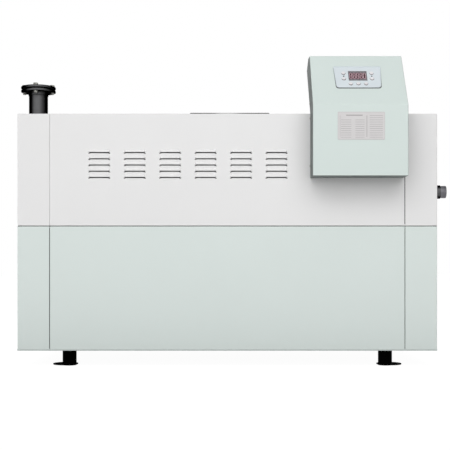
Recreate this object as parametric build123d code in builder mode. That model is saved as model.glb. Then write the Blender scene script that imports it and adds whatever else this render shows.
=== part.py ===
"""Industrial boiler: a long two-storey sheet-metal cabinet on four short legs.

Millimetres, +Z up. X runs to the right, Y runs to the back, Z is zero on the floor.
The origin is the centre of the whole boiler's footprint, at floor level.
"""

import os
from math import atan2, cos, hypot, pi, sin

from build123d import *

# Casing
casing_width = 2500.0
casing_depth = 1250.0
casing_bottom = 97.0
casing_top = 1508.0
storey_gap_low = 837.0
storey_gap_high = 841.0
seam_x = 1058.0
upper_seam = 1.0
lower_seam = 2.5
sheet = 2.0
tray_depth = 26.0
corner_bend = 6.0
edge_bend = 1.8

# Frame inside the casing
beam_height = 60.0
beam_width = 140.0
bar = 40.0
mid_rail_height = 60.0

# Legs and feet
leg_x = 958.0
leg_front_y = 120.0
leg_rear_y = 1130.0
leg_diameter = 84.0
head_plate_side = 130.0
head_plate_thickness = 8.0
foot_diameter = 150.0
foot_thickness = 6.0
foot_offset = 23.5
pad_height = 5.0
anchor_offset = 72.0
anchor_hole = 14.0

# Water connections, DN100 with PN6 flanges
water_pipe_diameter = 114.3
water_pipe_wall = 4.5
flange_diameter = 210.0
flange_thickness = 16.0
flange_pitch_circle = 170.0
flange_hole = 18.0
flange_holes = 4
gasket_thickness = 3.0
gasket_diameter = 148.0
flange_edge = 4.5
raised_face = 2.0
raised_face_diameter = 148.0
neck_height = 20.0
neck_diameter = 118.0
weld_height = 5.0
weld_swell = 1.5
weld_crown = 1.6
pipe_clearance = 8.0
grommet_rim = 3.0
supply_x = -1159.0
supply_y = 180.0
supply_flange_z = 1663.0
supply_inner_z = 1240.0
return_x = -909.0
return_z = 330.0
return_reach = 118.0
return_inner = 160.0

# Gas inlet, DN65
gas_y = 300.0
gas_z = 1063.0
gas_pipe_diameter = 76.1
gas_pipe_wall = 3.6
gas_reach = 116.0
gas_inner = 60.0
gas_engaged = 38.0
gas_thread_step = 1.2
gas_clearance = 7.0
gas_socket_diameter = 84.0
gas_socket_reach = 80.0

# Flue outlet
flue_x = 15.0
flue_y = 625.0
flue_base_side = 505.0
flue_base_height = 63.0
flue_diameter = 300.0
flue_wall = 3.0
flue_lip = 13.0
flue_inner = 20.0
flue_bead = 3.0
flue_bead_drop = 8.0
flue_edge = 4.0

# Louvres: one line of stacks in the upper front panel
louvre_width = 128.0
louvre_pitch_x = 211.0
louvre_pitch_z = 37.0
louvre_columns = 6
louvre_rows = 5
louvre_first_x = -762.0
louvre_top_z = 1279.0
louvre_hood_height = 15.0
louvre_hood_depth = 7.0
louvre_slot_drop = 6.0
louvre_corner = 7.0

# Control box
box_x = 770.0
box_width = 553.0
box_depth = 174.0
box_bottom = 1125.0
box_bend_z = 1534.0
box_top_y = 57.0
box_top_z = 1864.0
box_crown_y = 150.0
box_crown_z = 1868.0
box_back_y = 243.0
box_back_z = 1813.0
box_neck_z = 1511.0
box_front_bend = 10.0
box_top_bend = 14.0
box_crown_bend = 30.0
box_edge = 6.0
cover_sheet = 2.0

# Display on the sloping face, measured up the slope from the bend
fascia_low = 136.0
fascia_high = 308.0
fascia_low_width = 259.0
fascia_high_width = 280.0
fascia_thickness = 2.0
fascia_corner = 18.0
window_low = 192.0
window_high = 270.0
window_width = 110.0
window_thickness = 1.0
button_diameter = 22.0
button_height = 2.5
button_edge = 1.5
side_button_x = 83.0
side_button_heights = (210.0, 255.0)
row_button_height = 169.0
row_button_pitch = 45.0

# Label plate on the upright face
label_x = 3.5
label_low = 1331.0
label_high = 1492.0
label_width = 273.0
label_thickness = 1.5

# The footprint's centre is the origin, so the casing stands a little to the left and forward
left_reach = -supply_x + flange_diameter / 2
right_reach = casing_width / 2 + gas_reach
rear_reach = casing_depth + return_reach
casing_x = (left_reach - right_reach) / 2
front_y = (box_depth - rear_reach) / 2
frame_inset = tray_depth
frame_half = casing_width / 2 - frame_inset
beam_bottom = casing_bottom + head_plate_thickness
beam_top = beam_bottom + beam_height

os.makedirs("parts", exist_ok=True)


def level(z):
    """A horizontal plane at height z, its zero above the middle of the casing's front edge."""
    return Plane(origin=(casing_x, front_y, z))


def upright(y):
    """An upright plane y behind the casing's front, facing forwards: its own y is the height."""
    return Plane(origin=(casing_x, front_y + y, 0), x_dir=(1, 0, 0), z_dir=(0, -1, 0))


def sideways(x):
    """An upright plane x to the right of the casing's middle, facing right: x back, y up."""
    return Plane(origin=(casing_x + x, front_y, 0), x_dir=(0, 1, 0), z_dir=(1, 0, 0))


def write(piece, name):
    """Label a finished piece and write its STEP file."""
    piece.label = name
    export_step(piece, f"parts/{name}.step")


def bars(low, height, *rectangles):
    """Straight rails or posts of one height: each rectangle is x, y, width and depth in plan."""
    with BuildPart() as rails:
        with BuildSketch(level(low)):
            for x, y, width, depth in rectangles:
                with Locations((x, y)):
                    Rectangle(width, depth)
        extrude(amount=height)
    return rails.part


# Frame: beams on the legs, then posts and rails storey by storey
beam_y = frame_inset + beam_width / 2
cross_depth = casing_depth - 2 * (frame_inset + beam_width)
cross_x = frame_half - beam_height / 2
base_beams = bars(
    beam_bottom,
    beam_height,
    (0, beam_y, 2 * frame_half, beam_width),
    (0, casing_depth - beam_y, 2 * frame_half, beam_width),
)
write(base_beams, "base_beams")
base_cross_beams = bars(
    beam_bottom,
    beam_height,
    *[(x, casing_depth / 2, beam_height, cross_depth) for x in (-cross_x, -leg_x / 2, leg_x / 2, cross_x)],
)
write(base_cross_beams, "base_cross_beams")

post_xs = (-frame_half + bar / 2, -seam_x, seam_x, frame_half - bar / 2)
post_ys = (frame_inset + bar / 2, casing_depth - frame_inset - bar / 2)
post_plan = [(x, y, bar, bar) for x in post_xs for y in post_ys]
pan_top = beam_top + sheet
mid_rail_low = (storey_gap_low + storey_gap_high - mid_rail_height) / 2
mid_rail_high = mid_rail_low + mid_rail_height
frame_top = casing_top - tray_depth
rail_length = 2 * frame_half
end_rail_length = casing_depth - 2 * (frame_inset + bar)
long_plan = [(0, y, rail_length, bar) for y in post_ys]
end_plan = [(x, casing_depth / 2, bar, end_rail_length) for x in post_xs]

# The top rail at the left end starts behind the supply pipe
short_start = supply_y + water_pipe_diameter / 2 + bar
short_end = casing_depth - frame_inset - bar
short_plan = (post_xs[0], (short_start + short_end) / 2, bar, short_end - short_start)

lower_posts = bars(pan_top, mid_rail_low - pan_top, *post_plan)
write(lower_posts, "lower_posts")
mid_long_rails = bars(mid_rail_low, mid_rail_height, *long_plan)
write(mid_long_rails, "mid_long_rails")
mid_end_rails = bars(mid_rail_low, mid_rail_height, end_plan[0], end_plan[-1])
write(mid_end_rails, "mid_end_rails")
upper_posts = bars(mid_rail_high, frame_top - bar - mid_rail_high, *post_plan)
write(upper_posts, "upper_posts")
top_long_rails = bars(frame_top - bar, bar, *long_plan)
write(top_long_rails, "top_long_rails")
top_cross_rails = bars(frame_top - bar, bar, short_plan, *end_plan[1:])
write(top_cross_rails, "top_cross_rails")

with BuildPart() as floor_pan:
    with BuildSketch(level(beam_top)):
        with Locations((0, casing_depth / 2)):
            Rectangle(2 * frame_half, casing_depth - 2 * frame_inset)
    extrude(amount=sheet)
write(floor_pan.part, "floor_pan")


# Casing panels
def end_cap(side, low, high, core_high, seam):
    """The end of one storey: a single sheet bent round both corners, with turned-in edges.

    A core that stops short of the top leaves the top closed.
    """
    outer = side * casing_width / 2
    inner = side * (seam_x + seam / 2)
    width = abs(outer - inner)
    middle = (outer + inner) / 2
    core_width = width - tray_depth
    with BuildPart() as cap:
        with BuildSketch(level(low)) as outline:
            with Locations((middle, casing_depth / 2)):
                Rectangle(width, casing_depth)
            corners = outline.vertices().sort_by(Axis.X)
            fillet(corners[-2:] if side > 0 else corners[:2], corner_bend)
        extrude(amount=high - low)
        chamfer(cap.faces().sort_by(Axis.Z)[-1].edges(), edge_bend)
        chamfer(cap.faces().sort_by(Axis.Z)[0].edges(), edge_bend)
        with BuildSketch(level(low + sheet)) as inside:
            with Locations((middle, casing_depth / 2)):
                Rectangle(width - 2 * sheet, casing_depth - 2 * sheet)
            corners = inside.vertices().sort_by(Axis.X)
            fillet(corners[-2:] if side > 0 else corners[:2], corner_bend - sheet)
        extrude(amount=high - low - 2 * sheet, mode=Mode.SUBTRACT)
        with BuildSketch(level(low)):
            with Locations((inner + side * core_width / 2, casing_depth / 2)):
                Rectangle(core_width, casing_depth - 2 * tray_depth)
        extrude(amount=core_high - low, mode=Mode.SUBTRACT)
    return cap


def middle_panel(front_face, low, high, backwards, seam):
    """The wide middle panel of one storey: a tray whose edges turn in towards the frame."""
    width = 2 * seam_x - seam
    depth = tray_depth * backwards
    with BuildPart() as panel:
        with BuildSketch(upright(front_face)):
            with Locations((0, (low + high) / 2)):
                Rectangle(width, high - low)
        extrude(amount=-depth)
        skin = panel.faces().sort_by(Axis.Y)[0 if backwards > 0 else -1]
        chamfer(skin.edges(), edge_bend)
        with BuildSketch(upright(front_face + sheet * backwards)):
            with Locations((0, (low + high) / 2)):
                Rectangle(width - 2 * sheet, high - low - 2 * sheet)
        extrude(amount=-depth, mode=Mode.SUBTRACT)
    return panel


lower_left_cap = end_cap(-1, casing_bottom, storey_gap_low, storey_gap_low, lower_seam)
write(lower_left_cap.part, "lower_left_cap")
lower_right_cap = end_cap(1, casing_bottom, storey_gap_low, storey_gap_low, lower_seam)
write(lower_right_cap.part, "lower_right_cap")

# The upper ends are closed on top, and the left one lets the supply pipe out
with BuildPart() as upper_left_cap:
    add(end_cap(-1, storey_gap_high, casing_top, casing_top - sheet, upper_seam).part)
    with BuildSketch(level(casing_top - 2 * sheet)):
        with Locations((supply_x, supply_y)):
            Circle(water_pipe_diameter / 2 + pipe_clearance)
    extrude(amount=3 * sheet, mode=Mode.SUBTRACT)
write(upper_left_cap.part, "upper_left_cap")

# The upper right end lets the gas inlet out
with BuildPart() as upper_right_cap:
    add(end_cap(1, storey_gap_high, casing_top, casing_top - sheet, upper_seam).part)
    with BuildSketch(sideways(casing_width / 2 - 2 * sheet)):
        with Locations((gas_y, gas_z)):
            Circle(gas_socket_diameter / 2 + gas_clearance)
    extrude(amount=3 * sheet, mode=Mode.SUBTRACT)
write(upper_right_cap.part, "upper_right_cap")

lower_front_panel = middle_panel(0, casing_bottom, storey_gap_low, 1, lower_seam)
write(lower_front_panel.part, "lower_front_panel")
upper_rear_panel = middle_panel(casing_depth, storey_gap_high, casing_top, -1, upper_seam)
write(upper_rear_panel.part, "upper_rear_panel")

# The lower rear panel lets the return pipe out
with BuildPart() as lower_rear_panel:
    add(middle_panel(casing_depth, casing_bottom, storey_gap_low, -1, lower_seam).part)
    with BuildSketch(upright(casing_depth)):
        with Locations((return_x, return_z)):
            Circle(water_pipe_diameter / 2 + pipe_clearance)
    extrude(amount=sheet, mode=Mode.SUBTRACT)
write(lower_rear_panel.part, "lower_rear_panel")

# One pressed louvre: a hood that slopes out from the sheet, cut back at both ends and open underneath
with BuildPart() as louvre_hood:
    with BuildSketch(Plane.XZ) as root:
        with Locations((0, louvre_hood_height / 2)):
            Rectangle(louvre_width, louvre_hood_height)
        chamfer(root.vertices().group_by(Axis.Y)[-1], louvre_corner)
    with BuildSketch(Plane.XZ.offset(louvre_hood_depth)) as lip:
        with Locations((0, sheet)):
            Rectangle(louvre_width - 2 * louvre_hood_depth, 2 * sheet)
        chamfer(lip.vertices().group_by(Axis.Y)[-1], sheet)
    loft()
    with BuildSketch(Plane.XZ) as root:
        with Locations((0, louvre_hood_height / 2 - sheet)):
            Rectangle(louvre_width - 2 * sheet, louvre_hood_height)
        chamfer(root.vertices().group_by(Axis.Y)[-1], louvre_corner - sheet)
    with BuildSketch(Plane.XZ.offset(louvre_hood_depth - sheet)) as lip:
        Rectangle(louvre_width - 2 * louvre_hood_depth - 2 * sheet, 2 * sheet)
        chamfer(lip.vertices().group_by(Axis.Y)[-1], sheet / 2)
    loft(mode=Mode.SUBTRACT)

louvre_middle_x = louvre_first_x + louvre_pitch_x * (louvre_columns - 1) / 2
louvre_middle_z = louvre_top_z - louvre_pitch_z * (louvre_rows - 1) / 2
slot_height = louvre_slot_drop + louvre_hood_height - 2 * sheet
with BuildPart() as upper_front_panel:
    add(middle_panel(0, storey_gap_high, casing_top, 1, upper_seam).part)
    with BuildSketch(upright(sheet)):
        with Locations((louvre_middle_x, louvre_middle_z + slot_height / 2 - louvre_slot_drop)):
            with GridLocations(louvre_pitch_x, louvre_pitch_z, louvre_columns, louvre_rows):
                Rectangle(louvre_width - 3 * sheet, slot_height)
    extrude(amount=sheet, mode=Mode.SUBTRACT)
    for column in range(louvre_columns):
        for row in range(louvre_rows):
            hood_x = casing_x + louvre_first_x + column * louvre_pitch_x
            with Locations((hood_x, front_y, louvre_top_z - row * louvre_pitch_z)):
                add(louvre_hood.part)
write(upper_front_panel.part, "upper_front_panel")


# The middle of the top, its edges turned down, with the hole for the flue
top_depth = casing_depth - 2 * (tray_depth + upper_seam)
with BuildPart() as top_panel:
    with BuildSketch(level(frame_top)):
        with Locations((0, casing_depth / 2)):
            Rectangle(2 * seam_x - upper_seam, top_depth)
    extrude(amount=tray_depth)
    chamfer(top_panel.faces().sort_by(Axis.Z)[-1].edges(), edge_bend)
    with BuildSketch(level(frame_top)):
        with Locations((0, casing_depth / 2)):
            Rectangle(2 * seam_x - upper_seam - 2 * sheet, top_depth - 2 * sheet)
    extrude(amount=tray_depth - sheet, mode=Mode.SUBTRACT)
    with BuildSketch(level(frame_top)):
        with Locations((flue_x, flue_y)):
            Circle(flue_diameter / 2)
    extrude(amount=tray_depth, mode=Mode.SUBTRACT)
write(top_panel.part, "top_panel")

# Legs: the head plate of each lies under a base beam, behind the casing's lower edge
leg_bottom = pad_height + foot_thickness
foot_spots = []
for side, side_name in ((-1, "left"), (1, "right")):
    for y, row_name in ((leg_front_y, "front"), (leg_rear_y, "rear")):
        foot_spots.append((side, y))
        with BuildPart() as leg:
            with BuildSketch(level(leg_bottom)):
                with Locations((side * leg_x, y)):
                    Circle(leg_diameter / 2)
            extrude(amount=casing_bottom - leg_bottom)
            with BuildSketch(level(casing_bottom)):
                with Locations((side * leg_x, y)):
                    RectangleRounded(head_plate_side, head_plate_side, corner_bend)
            extrude(amount=head_plate_thickness)
        write(leg.part, f"leg_{row_name}_{side_name}")

# Foot plates stand out past the legs for an anchor, on round rubber pads
with BuildPart() as foot_plates:
    with BuildSketch(level(pad_height)):
        for side, y in foot_spots:
            with Locations((side * (leg_x + foot_offset), y)):
                Circle(foot_diameter / 2)
            with Locations((side * (leg_x + anchor_offset), y)):
                Circle(anchor_hole / 2, mode=Mode.SUBTRACT)
    extrude(amount=foot_thickness)
write(foot_plates.part, "foot_plates")
with BuildPart() as foot_pads:
    with BuildSketch(level(0)):
        for side, y in foot_spots:
            with Locations((side * leg_x, y)):
                Circle(leg_diameter / 2)
    extrude(amount=pad_height)
write(foot_pads.part, "foot_pads")


# Water connections
bore = water_pipe_diameter - 2 * water_pipe_wall


def water_pipe(base, length):
    """A pipe from the plane base, with a weld bead and above it the neck that carries a flange."""
    outer = water_pipe_diameter / 2
    neck = neck_diameter / 2
    weld = length - flange_thickness - neck_height
    with BuildPart() as pipe:
        with BuildSketch(Plane(origin=base.origin, x_dir=base.x_dir, z_dir=-base.y_dir)):
            with BuildLine():
                Polyline(
                    (0, 0),
                    (outer, 0),
                    (outer, weld - weld_height / 2),
                    (neck + weld_swell, weld - weld_crown / 2),
                    (neck + weld_swell, weld + weld_crown / 2),
                    (neck, weld + weld_height / 2),
                    (neck, length),
                    (0, length),
                    close=True,
                )
            make_face()
        revolve(axis=Axis(base.origin, base.z_dir))
        with BuildSketch(base):
            Circle(bore / 2)
        extrude(amount=length, mode=Mode.SUBTRACT)
    return pipe


def flange(base, opening):
    """A flange lying on the plane base, its edges turned off in two cuts, its raised face on the far side."""
    rim = flange_thickness - raised_face
    outer = flange_diameter / 2
    cut = flange_edge * (1 - cos(pi / 4))
    with BuildPart() as plate:
        with BuildSketch(Plane(origin=base.origin, x_dir=base.x_dir, z_dir=-base.y_dir)):
            with BuildLine():
                Polyline(
                    (0, 0),
                    (outer - flange_edge, 0),
                    (outer - cut, cut),
                    (outer, flange_edge),
                    (outer, rim - flange_edge),
                    (outer - cut, rim - cut),
                    (outer - flange_edge, rim),
                    (raised_face_diameter / 2, rim),
                    (raised_face_diameter / 2, flange_thickness),
                    (0, flange_thickness),
                    close=True,
                )
            make_face()
        revolve(axis=Axis(base.origin, base.z_dir))
        with BuildSketch(base):
            Circle(opening / 2)
            with PolarLocations(flange_pitch_circle / 2, flange_holes):
                Circle(flange_hole / 2)
        extrude(amount=flange_thickness, mode=Mode.SUBTRACT)
    return plate


def seal_ring(base, outer, inner, thickness):
    """A flat ring standing on the plane base."""
    with BuildPart() as ring:
        with BuildSketch(base):
            Circle(outer / 2)
            Circle(inner / 2, mode=Mode.SUBTRACT)
        extrude(amount=thickness)
    return ring


supply_base = Plane(origin=(casing_x + supply_x, front_y + supply_y, supply_inner_z))
supply_length = supply_flange_z + flange_thickness - supply_inner_z
supply_pipe = water_pipe(supply_base, supply_length)
write(supply_pipe.part, "supply_pipe")
supply_joint = supply_base.offset(supply_length)
supply_flange = flange(supply_joint.offset(-flange_thickness), neck_diameter)
write(supply_flange.part, "supply_flange")
supply_gasket = seal_ring(supply_joint, gasket_diameter, bore, gasket_thickness)
write(supply_gasket.part, "supply_gasket")

# The counter flange lies on the gasket with its raised face downwards
counter_back = Plane(
    origin=supply_joint.offset(gasket_thickness + flange_thickness).origin,
    x_dir=(1, 0, 0),
    z_dir=(0, 0, -1),
)
counter_flange = flange(counter_back, bore)
write(counter_flange.part, "counter_flange")
supply_grommet = seal_ring(
    supply_base.offset(casing_top - supply_inner_z - sheet),
    water_pipe_diameter + 2 * pipe_clearance,
    water_pipe_diameter,
    sheet + grommet_rim,
)

return_base = Plane(
    origin=(casing_x + return_x, front_y + casing_depth - return_inner, return_z),
    x_dir=(-1, 0, 0),
    z_dir=(0, 1, 0),
)
return_length = return_inner + return_reach
return_pipe = water_pipe(return_base, return_length)
write(return_pipe.part, "return_pipe")
return_flange = flange(return_base.offset(return_length - flange_thickness), neck_diameter)
write(return_flange.part, "return_flange")
return_grommet = seal_ring(
    return_base.offset(return_inner - sheet),
    water_pipe_diameter + 2 * pipe_clearance,
    water_pipe_diameter,
    sheet + grommet_rim,
)

# Gas inlet: a black socket with a galvanised nipple screwed into it
gas_base = Plane(
    origin=(casing_x + casing_width / 2, front_y + gas_y, gas_z),
    x_dir=(0, 1, 0),
    z_dir=(1, 0, 0),
)
gas_bore = gas_pipe_diameter - 2 * gas_pipe_wall
gas_root = gas_pipe_diameter - gas_thread_step
with BuildPart() as gas_socket:
    with BuildSketch(gas_base.offset(-gas_inner)):
        Circle(gas_socket_diameter / 2)
        Circle(gas_bore / 2, mode=Mode.SUBTRACT)
    extrude(amount=gas_inner + gas_socket_reach)
    with BuildSketch(gas_base.offset(gas_socket_reach - gas_engaged)):
        Circle(gas_root / 2)
    extrude(amount=gas_engaged, mode=Mode.SUBTRACT)
write(gas_socket.part, "gas_socket")
with BuildPart() as gas_nipple:
    with BuildSketch(gas_base.offset(gas_socket_reach - gas_engaged)):
        Circle(gas_root / 2)
    extrude(amount=gas_engaged)
    with BuildSketch(gas_base.offset(gas_socket_reach)):
        Circle(gas_pipe_diameter / 2)
    extrude(amount=gas_reach - gas_socket_reach)
    with BuildSketch(gas_base.offset(gas_socket_reach - gas_engaged)):
        Circle(gas_bore / 2)
    extrude(amount=gas_reach - gas_socket_reach + gas_engaged, mode=Mode.SUBTRACT)
write(gas_nipple.part, "gas_nipple")
gas_grommet = seal_ring(
    gas_base.offset(-sheet),
    gas_socket_diameter + 2 * gas_clearance,
    gas_socket_diameter,
    sheet + grommet_rim,
)
write(Compound(children=[supply_grommet.part, return_grommet.part, gas_grommet.part]), "pipe_grommets")

# Flue outlet: a low square base with a round socket, beaded near its rim
with BuildPart() as flue_base:
    with BuildSketch(level(casing_top)):
        with Locations((flue_x, flue_y)):
            RectangleRounded(flue_base_side, flue_base_side, corner_bend)
    extrude(amount=flue_base_height)
    chamfer(flue_base.faces().sort_by(Axis.Z)[-1].edges(), flue_edge)
    with BuildSketch(level(casing_top)):
        with Locations((flue_x, flue_y)):
            Circle(flue_diameter / 2)
    extrude(amount=flue_base_height, mode=Mode.SUBTRACT)
write(flue_base.part, "flue_base")
flue_foot = Plane(origin=(casing_x + flue_x, front_y + flue_y, casing_top - flue_inner))
flue_length = flue_inner + flue_base_height + flue_lip
with BuildPart() as flue_socket:
    add(seal_ring(flue_foot, flue_diameter, flue_diameter - 2 * flue_wall, flue_length).part)
    with BuildSketch(Plane(origin=flue_foot.origin, x_dir=(1, 0, 0), z_dir=(0, -1, 0))):
        with Locations((flue_diameter / 2, flue_length - flue_bead_drop)):
            RegularPolygon(flue_bead, 8)
    revolve(axis=Axis(flue_foot.origin, (0, 0, 1)))
    with BuildSketch(flue_foot):
        Circle(flue_diameter / 2 - flue_wall)
    extrude(amount=flue_length, mode=Mode.SUBTRACT)
write(flue_socket.part, "flue_socket")


# Control box
def inset_outline(corners, insets):
    """Move each side of a clockwise outline inwards by its own inset; side i starts at corner i."""
    sides = []
    for i, (ax, ay) in enumerate(corners):
        bx, by = corners[(i + 1) % len(corners)]
        length = hypot(bx - ax, by - ay)
        nx = (by - ay) / length
        ny = (ax - bx) / length
        sides.append((nx, ny, nx * ax + ny * ay + insets[i]))
    moved = []
    for i, (nx, ny, reach) in enumerate(sides):
        px, py, past = sides[i - 1]
        turn = px * ny - nx * py
        moved.append(((past * ny - reach * py) / turn, (px * reach - nx * past) / turn))
    return moved


box_corners = [
    (-box_depth, box_bottom),
    (-box_depth, box_bend_z),
    (box_top_y, box_top_z),
    (box_crown_y, box_crown_z),
    (box_back_y, box_back_z),
    (0, box_neck_z),
    (0, box_bottom),
]
box_bends = {1: box_front_bend, 2: box_top_bend, 3: box_crown_bend}


def box_block(inset):
    """The control box as one block, smaller by the inset on every side but its back and underside."""
    corners = inset_outline(box_corners, [inset, inset, inset, inset, 0, 0, 0])
    with BuildPart() as block:
        with BuildSketch(sideways(box_x - box_width / 2 + inset)) as profile:
            with BuildLine():
                Polyline(*corners, close=True)
            make_face()
            for index, bend in box_bends.items():
                fillet(profile.vertices().sort_by_distance(corners[index])[0], bend - inset)
        extrude(amount=box_width - 2 * inset)
        fillet(block.edges().filter_by(Axis.Z).sort_by(Axis.Y)[:2], box_edge - inset)
    return block


control_box_body = box_block(cover_sheet)
write(control_box_body.part, "control_box_body")

# The cover is one sheet over the front, the slope, the top and both cheeks
with BuildPart() as control_box_cover:
    add(box_block(0).part)
    add(control_box_body.part, mode=Mode.SUBTRACT)
write(control_box_cover.part, "control_box_cover")
slope_angle = atan2(box_top_z - box_bend_z, box_top_y + box_depth)

# The display stands on the sloping face
slope = Plane(
    origin=(casing_x + box_x, front_y - box_depth, box_bend_z),
    x_dir=(1, 0, 0),
    z_dir=(0, -sin(slope_angle), cos(slope_angle)),
)
with BuildPart() as display_fascia:
    with BuildSketch(slope) as outline:
        with BuildLine():
            Polyline(
                (-fascia_low_width / 2, fascia_low),
                (fascia_low_width / 2, fascia_low),
                (fascia_high_width / 2, fascia_high),
                (-fascia_high_width / 2, fascia_high),
                close=True,
            )
        make_face()
        fillet(outline.vertices().sort_by(Axis.Y)[:2], fascia_corner)
    extrude(amount=fascia_thickness)
write(display_fascia.part, "display_fascia")
with BuildPart() as display_window:
    with BuildSketch(slope.offset(fascia_thickness)):
        with Locations((0, (window_low + window_high) / 2)):
            Rectangle(window_width, window_high - window_low)
    extrude(amount=window_thickness)
write(display_window.part, "display_window")
with BuildPart() as display_buttons:
    with BuildSketch(slope.offset(fascia_thickness)):
        for x in (-side_button_x, side_button_x):
            for height in side_button_heights:
                with Locations((x, height)):
                    Circle(button_diameter / 2)
        with Locations((0, row_button_height)):
            with GridLocations(row_button_pitch, 1, 3, 1):
                Circle(button_diameter / 2)
    extrude(amount=button_height)
    chamfer(display_buttons.edges().group_by(Axis(slope.origin, slope.z_dir))[-1], button_edge)
write(display_buttons.part, "display_buttons")
with BuildPart() as label_plate:
    with BuildSketch(upright(-box_depth)):
        with Locations((box_x + label_x, (label_low + label_high) / 2)):
            RectangleRounded(label_width, label_high - label_low, corner_bend)
    extrude(amount=label_thickness)
write(label_plate.part, "label_plate")
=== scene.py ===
"""Studio scene of a long floor-standing boiler: finishes, small fittings, floor, light and camera.

Metres, +Z up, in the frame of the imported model. Places on the boiler are written in millimetres
from the middle of the casing's front edge: x to the right, y to the back, z up from the floor.
"""

from math import atan2, cos, pi, radians, sin, sqrt, tan

import bmesh
import bpy
from mathutils import Euler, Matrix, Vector


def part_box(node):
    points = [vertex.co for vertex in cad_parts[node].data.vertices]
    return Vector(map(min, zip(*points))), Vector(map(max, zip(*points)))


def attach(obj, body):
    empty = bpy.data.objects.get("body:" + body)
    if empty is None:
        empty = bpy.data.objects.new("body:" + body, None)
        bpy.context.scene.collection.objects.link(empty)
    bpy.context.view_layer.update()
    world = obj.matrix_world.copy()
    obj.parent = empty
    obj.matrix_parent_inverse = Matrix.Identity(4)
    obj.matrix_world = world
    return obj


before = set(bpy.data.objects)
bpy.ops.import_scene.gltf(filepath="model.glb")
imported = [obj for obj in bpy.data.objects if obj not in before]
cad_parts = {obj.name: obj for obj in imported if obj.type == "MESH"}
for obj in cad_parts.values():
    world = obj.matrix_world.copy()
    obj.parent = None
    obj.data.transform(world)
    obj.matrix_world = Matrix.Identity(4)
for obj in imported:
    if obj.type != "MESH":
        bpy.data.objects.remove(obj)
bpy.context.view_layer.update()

MM = 0.001
panel_low, panel_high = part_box("lower_front_panel")
casing_x = (panel_low.x + panel_high.x) / 2
front_y = panel_low.y

# Sizes that the fittings share with the solids, in millimetres
casing_width = 2500.0
casing_depth = 1250.0
casing_bottom = 97.0
casing_top = 1508.0
storey_gap = 839.0
seam_x = 1058.0
supply_x = -1159.0
supply_y = 180.0
supply_flange_low = 1663.0
supply_flange_high = 1698.0
flange_pitch_radius = 85.0
gas_y = 300.0
gas_z = 1063.0
gas_reach = 116.0
gas_pipe_radius = 38.05
flue_x = 15.0
flue_y = 625.0
flue_base_side = 505.0
flue_base_top = 1571.0
louvre_columns = 6
louvre_rows = 5
louvre_pitch_x = 211.0
louvre_pitch_z = 37.0
louvre_first_x = -762.0
louvre_top_z = 1279.0
box_x = 770.0
box_width = 553.0
box_depth = 174.0
box_bend_z = 1534.0
box_top_y = 57.0
box_top_z = 1864.0
slope_angle = atan2(box_top_z - box_bend_z, box_top_y + box_depth)
fascia_low = 136.0
fascia_high = 308.0
fascia_low_width = 259.0
fascia_high_width = 280.0
fascia_corner = 18.0
fascia_face = 2.0
window_face = 3.0
window_low = 192.0
side_key_x = 83.0
side_key_heights = (210.0, 255.0)
row_key_height = 169.0
row_key_pitch = 45.0
label_x = 3.5
label_low = 1331.0
label_high = 1492.0
label_width = 273.0
label_face = 1.5


def place(x, y, z):
    """A point on the boiler, in metres in the model's frame."""
    return Vector((casing_x + x * MM, front_y + y * MM, z * MM))


def on_slope(x, up, proud):
    """A point on the control box's sloping face, x from its middle, up from the bend."""
    back = up * cos(slope_angle) - proud * sin(slope_angle) - box_depth
    return place(box_x + x, back, box_bend_z + up * sin(slope_angle) + proud * cos(slope_angle))


def on_label(x, up, proud):
    """A point on the control box's upright face, x from its middle, up from the floor."""
    return place(box_x + x, -box_depth - proud, up)


# Node trees
def put(tree, kind, inputs=None, **settings):
    """A new node: its settings, then its inputs, where an output socket is linked."""
    node = tree.nodes.new(kind)
    for key, value in settings.items():
        setattr(node, key, value)
    for key, value in (inputs or {}).items():
        if isinstance(value, bpy.types.NodeSocket):
            tree.links.new(value, node.inputs[key])
        else:
            node.inputs[key].default_value = value
    return node


def maths(tree, operation, first, second=0.0):
    """One Math node's result."""
    return put(tree, "ShaderNodeMath", {0: first, 1: second}, operation=operation).outputs[0]


def vector_maths(tree, operation, first, second=(0.0, 0.0, 0.0)):
    """One Vector Math node's results."""
    return put(tree, "ShaderNodeVectorMath", {0: first, 1: second}, operation=operation).outputs


def ramp(tree, value, start, end, low=0.0, high=1.0, shape="LINEAR"):
    """A value that runs from low to high while the given one runs from start to end."""
    inputs = {"Value": value, "From Min": start, "From Max": end, "To Min": low, "To Max": high}
    return put(tree, "ShaderNodeMapRange", inputs, interpolation_type=shape).outputs[0]


def grain(tree, cells, detail=2.0, stretch=(1.0, 1.0, 1.0)):
    """Noise on the piece's own coordinates, with about so many cells to the metre."""
    where = put(tree, "ShaderNodeTexCoord").outputs["Object"]
    scaled = put(tree, "ShaderNodeMapping", {"Vector": where, "Scale": stretch}).outputs["Vector"]
    noise = put(tree, "ShaderNodeTexNoise", {"Vector": scaled, "Scale": cells, "Detail": detail})
    return noise.outputs[0]


def spread(tree, pattern, low, high):
    """The middle of a noise spread over the range from low to high."""
    return ramp(tree, pattern, 0.3, 0.7, low, high)


def tint(tree, factor, first, second):
    """A colour that runs from the first to the second with the factor."""
    ends = [end if isinstance(end, bpy.types.NodeSocket) else (*end, 1) for end in (first, second)]
    inputs = {0: factor, 6: ends[0], 7: ends[1]}
    return put(tree, "ShaderNodeMix", inputs, data_type="RGBA").outputs[2]


def shade(color, share):
    """The same colour, darker or paler."""
    return tuple(min(1.0, part * share) for part in color)


def new_finish(name, **sockets):
    """A material with these values on its shader's sockets."""
    material = bpy.data.materials.new(name)
    material.use_nodes = True
    tree = material.node_tree
    shader = tree.nodes["Principled BSDF"]
    for key, value in sockets.items():
        socket = shader.inputs[key.replace("_", " ")]
        if isinstance(value, tuple):
            value = (*value, 1)
        socket.default_value = value
    return material, tree, shader


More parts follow.
